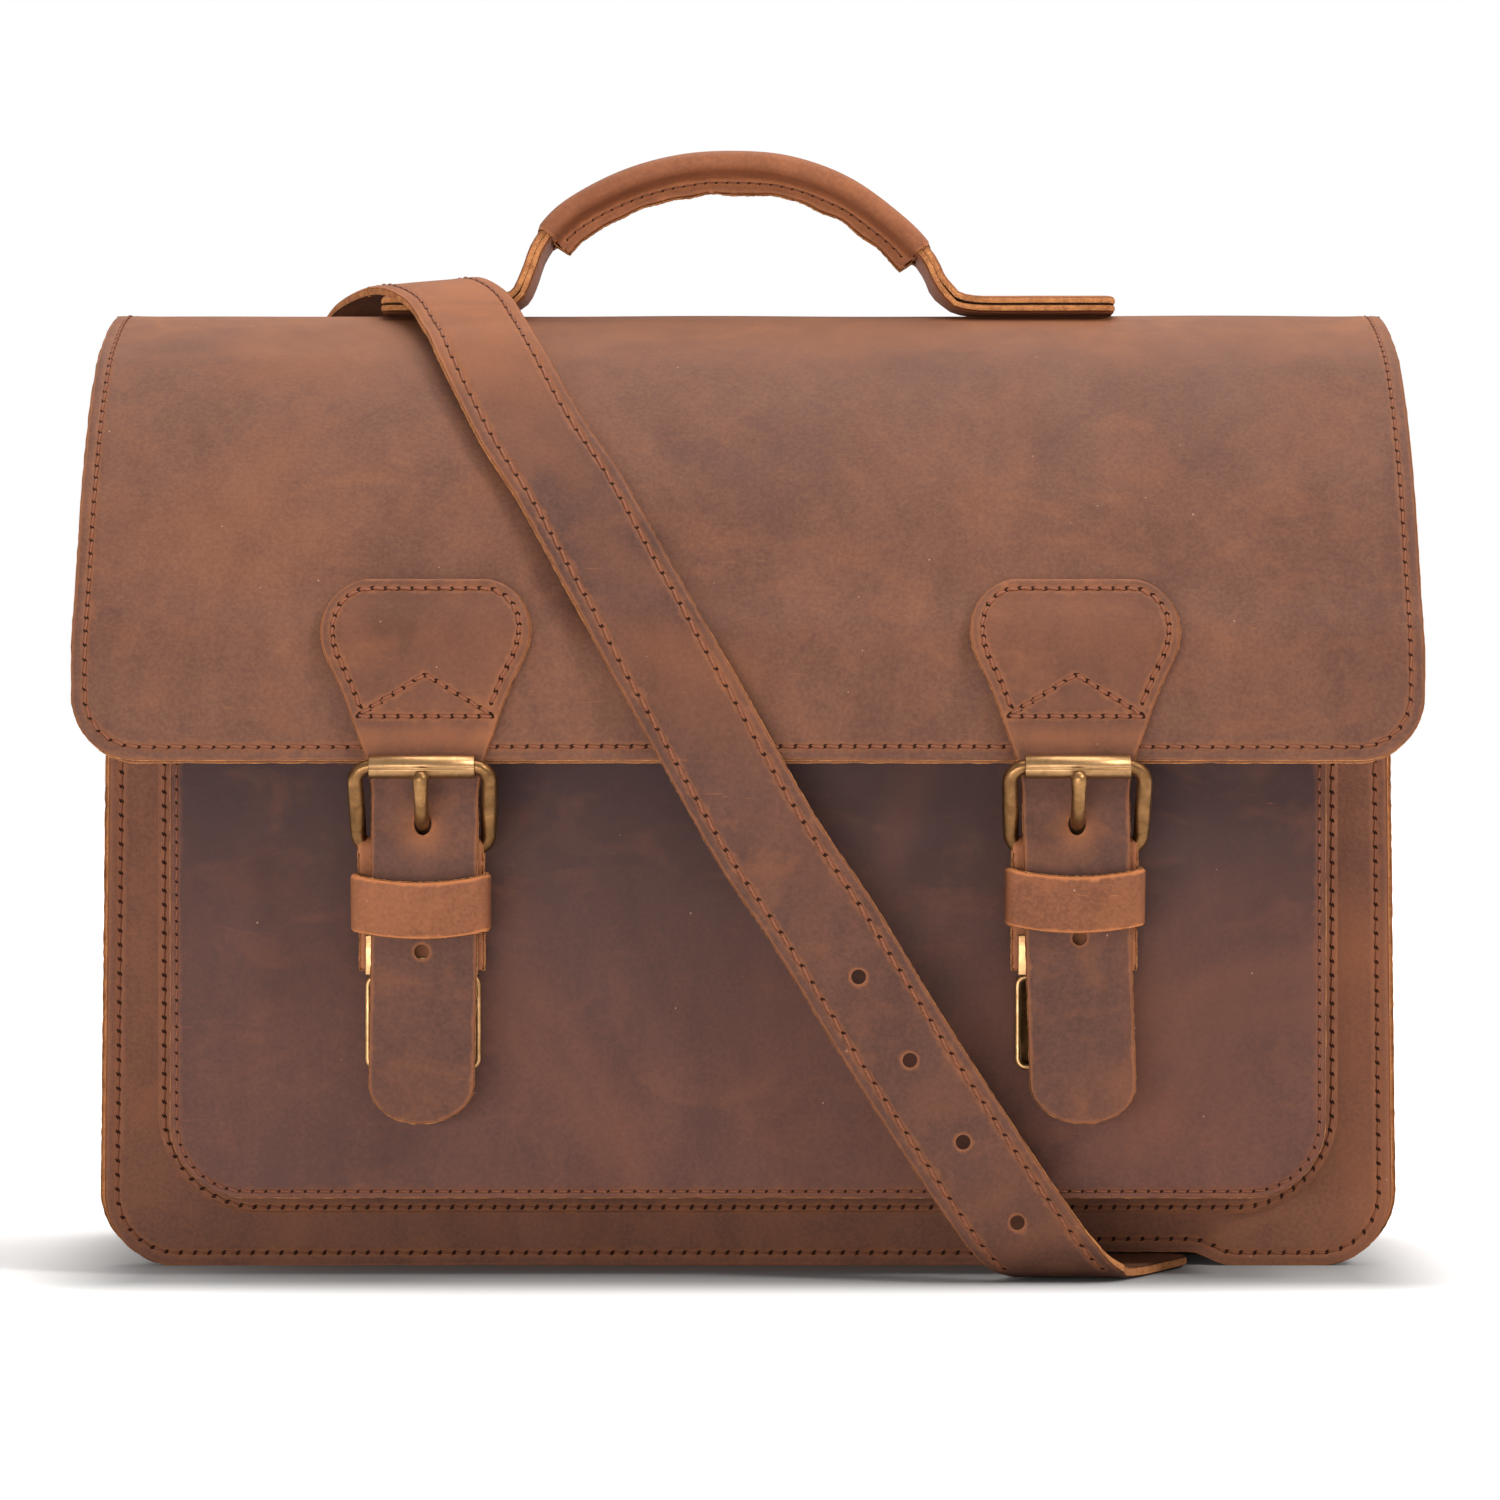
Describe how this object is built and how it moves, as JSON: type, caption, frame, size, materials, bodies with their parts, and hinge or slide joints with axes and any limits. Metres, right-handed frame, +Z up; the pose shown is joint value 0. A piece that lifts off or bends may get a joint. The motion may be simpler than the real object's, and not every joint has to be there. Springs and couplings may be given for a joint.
{
  "type": "satchel bag",
  "caption": "Leather satchel with a hinged flap, front pocket, carrying handle, shoulder strap and buckled tuck-lock closures.",
  "frame": {"origin": "centre of the bag's bounding box in plan, on the surface it stands on", "axes": "+X along the width, to the right seen from the front; +Y to the back wall; +Z up"},
  "size_m": [0.4074, 0.2009, 0.3547],
  "materials": {
    "leather": "waxed pull-up leather, satin",
    "tan_leather": "waxed leather, lighter where it bends",
    "lining": "suede flesh side, matt",
    "brass": "antique brass, satin"
  },
  "bodies": {
    "bag": {"front_panel": "leather", "back_panel": "leather", "main_gusset": "leather", "pocket_panel": "leather", "pocket_gusset": "tan_leather", "flap_seam_leather": "leather", "strap_rear_left": "leather", "strap_short_right": "leather", "strap_buckle_frame": "brass", "lock_base_left": "brass", "lock_backing_left": "brass", "ring_chape_left": "leather", "lock_base_right": "brass", "lock_backing_right": "brass", "ring_chape_right": "leather"},
    "flap_top": {"flap_top_leather": "leather", "flap_top_lining": "lining", "strap_top_run": "leather", "handle_tab_upper_left": "leather", "handle_tab_lower_left": "leather", "handle_tab_upper_right": "leather", "handle_tab_lower_right": "leather"},
    "handle": {"handle_strap_outer": "leather", "handle_strap_inner": "leather", "handle_core": "lining", "handle_grip_wrap": "leather"},
    "flap_front": {"flap_front_leather": "leather", "flap_front_lining": "lining", "strap_front_run": "leather", "closure_head_left": "leather", "closure_head_right": "leather"},
    "strap_prong": {"strap_buckle_prong": "brass"},
    "closure_left": {"closure_strap_left": "leather", "closure_tab_left": "tan_leather", "buckle_frame_left": "brass", "lock_clip_left": "brass"},
    "keeper_left": {"keeper_left": "tan_leather"},
    "roller_left": {"buckle_roller_left": "brass"},
    "prong_left": {"buckle_prong_left": "brass"},
    "lock_catch_left": {"lock_slider_left": "brass"},
    "ring_left": {"strap_ring_left": "brass", "strap_end_left": "leather"},
    "closure_right": {"closure_strap_right": "leather", "closure_tab_right": "tan_leather", "buckle_frame_right": "brass", "lock_clip_right": "brass"},
    "keeper_right": {"keeper_right": "tan_leather"},
    "roller_right": {"buckle_roller_right": "brass"},
    "prong_right": {"buckle_prong_right": "brass"},
    "lock_catch_right": {"lock_slider_right": "brass"},
    "ring_right": {"strap_ring_right": "brass", "strap_end_right": "leather"}
  },
  "joints": [
    {"name": "flap_lift", "type": "hinge", "parent": "bag", "child": "flap_top", "pos_m": [0, 0.091, 0.2865], "axis": [-1, 0, 0], "range_deg": [0, 115]},
    {"name": "flap_fold", "type": "hinge", "parent": "flap_top", "child": "flap_front", "pos_m": [0, -0.0305, 0.2866], "axis": [-1, 0, 0], "range_deg": [0, 85]},
    {"name": "handle_flex", "type": "hinge", "parent": "flap_top", "child": "handle", "pos_m": [0, 0.0285, 0.3037], "axis": [1, 0, 0], "range_deg": [-9, 20], "stiffness_Nm_per_rad": 0.6},
    {"name": "strap_prong_lift", "type": "hinge", "parent": "bag", "child": "strap_prong", "pos_m": [0.14, 0.0355, 0.0024], "axis": [-1, 0, 0], "range_deg": [0, 3]},
    {"name": "closure_swing_left", "type": "hinge", "parent": "flap_front", "child": "closure_left", "pos_m": [-0.0985, -0.0898, 0.1635], "axis": [-1, 0, 0], "range_deg": [0, 85], "stiffness_Nm_per_rad": 0.03, "springref_deg": -20.05},
    {"name": "roller_spin_left", "type": "hinge", "parent": "closure_left", "child": "roller_left", "pos_m": [-0.0985, -0.0937, 0.156], "axis": [1, 0, 0], "continuous": true},
    {"name": "prong_tilt_left", "type": "hinge", "parent": "closure_left", "child": "prong_left", "pos_m": [-0.0985, -0.083, 0.131], "axis": [1, 0, 0], "range_deg": [0, 5]},
    {"name": "keeper_slide_left", "type": "slide", "parent": "closure_left", "child": "keeper_left", "axis": [0, 0, 1], "range_m": [0, 0.004]},
    {"name": "lock_release_left", "type": "slide", "parent": "bag", "child": "lock_catch_left", "axis": [0, 0, -1], "range_m": [0, 0.004], "stiffness_N_per_m": 300, "springref_m": -0.003},
    {"name": "ring_swing_left", "type": "hinge", "parent": "bag", "child": "ring_left", "pos_m": [-0.14, 0.0897, 0.203], "axis": [-1, 0, 0], "range_deg": [0, 10]},
    {"name": "closure_swing_right", "type": "hinge", "parent": "flap_front", "child": "closure_right", "pos_m": [0.0985, -0.0898, 0.1635], "axis": [-1, 0, 0], "range_deg": [0, 85], "stiffness_Nm_per_rad": 0.03, "springref_deg": -20.05},
    {"name": "roller_spin_right", "type": "hinge", "parent": "closure_right", "child": "roller_right", "pos_m": [0.0985, -0.0937, 0.156], "axis": [1, 0, 0], "continuous": true},
    {"name": "prong_tilt_right", "type": "hinge", "parent": "closure_right", "child": "prong_right", "pos_m": [0.0985, -0.083, 0.131], "axis": [1, 0, 0], "range_deg": [0, 5]},
    {"name": "keeper_slide_right", "type": "slide", "parent": "closure_right", "child": "keeper_right", "axis": [0, 0, 1], "range_m": [0, 0.004]},
    {"name": "lock_release_right", "type": "slide", "parent": "bag", "child": "lock_catch_right", "axis": [0, 0, -1], "range_m": [0, 0.004], "stiffness_N_per_m": 300, "springref_m": -0.003},
    {"name": "ring_swing_right", "type": "hinge", "parent": "bag", "child": "ring_right", "pos_m": [0.14, 0.0897, 0.203], "axis": [1, 0, 0], "range_deg": [0, 10]}
  ]
}
